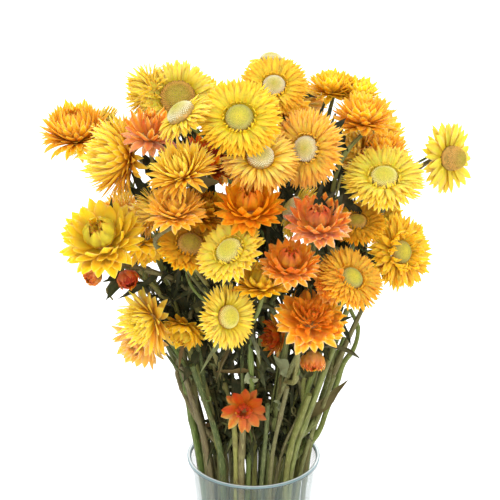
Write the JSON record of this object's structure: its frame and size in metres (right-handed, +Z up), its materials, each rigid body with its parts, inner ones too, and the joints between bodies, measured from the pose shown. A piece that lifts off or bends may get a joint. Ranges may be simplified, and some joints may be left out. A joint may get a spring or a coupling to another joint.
{
  "type": "bunch of dried strawflowers in a glass vase",
  "caption": "A rounded bunch of dried everlasting strawflowers in yellow, orange and coral on branching leafy stems, standing in a plain tapered glass vase.",
  "frame": {"origin": "the middle of the vase's foot, on the surface it stands on", "axes": "+Z is up; -Y points towards the viewer of the picture; +X is to that viewer's right"},
  "size_m": [0.2469, 0.2168, 0.4879],
  "materials": {
    "amber": "matte",
    "apricot": "matte",
    "coral": "matte",
    "glass": "gloss",
    "golden": "matte",
    "lemon": "matte",
    "orange": "matte",
    "red": "matte",
    "stem": "matte"
  },
  "bodies": {
    "root": {"bloom_back_left": "lemon", "bloom_back_low_left": "apricot", "bloom_back_low_right": "golden", "bloom_back_middle": "coral", "bloom_back_right": "amber", "bloom_back_right_side": "lemon", "bloom_back_top_left": "golden", "bloom_back_top_right": "orange", "bloom_big_orange": "orange", "bloom_big_yellow": "golden", "bloom_brown_eye": "lemon", "bloom_coral_left": "coral", "bloom_coral_low": "coral", "bloom_coral_middle": "coral", "bloom_cream_dome": "lemon", "bloom_cream_side": "lemon", "bloom_crest": "lemon", "bloom_dark_coral": "coral", "bloom_deep_orange": "orange", "bloom_far_left": "apricot", "bloom_far_right": "lemon", "bloom_left_goblet": "golden", "bloom_left_lemon": "lemon", "bloom_left_side": "golden", "bloom_low_gold": "golden", "bloom_low_left": "lemon", "bloom_low_lemon": "lemon", "bloom_low_peach": "apricot", "bloom_mid_apricot": "apricot", "bloom_ochre": "amber", "bloom_orange_fringe": "amber", "bloom_pale_behind": "lemon", "bloom_pale_eye": "amber", "bloom_red_behind": "red", "bloom_right_apricot": "apricot", "bloom_right_golden": "amber", "bloom_right_lemon": "lemon", "bloom_right_peach": "amber", "bloom_scalloped": "golden", "bloom_shaded_eye": "golden", "bloom_side_orange": "orange", "bloom_small_red": "red", "bloom_spiky": "lemon", "bloom_tan": "apricot", "bloom_top_amber": "amber", "bloom_top_right": "amber", "bloom_under_gold": "golden", "bloom_weeping": "lemon", "bud_dark": "red", "bud_low_coral": "coral", "bud_peach": "coral", "leafy_stem_01": "stem", "leafy_stem_02": "stem", "leafy_stem_03": "stem", "leafy_stem_04": "stem", "leafy_stem_05": "stem", "leafy_stem_06": "stem", "leafy_stem_07": "stem", "leafy_stem_08": "stem", "vase": "glass"}
  },
  "joints": []
}
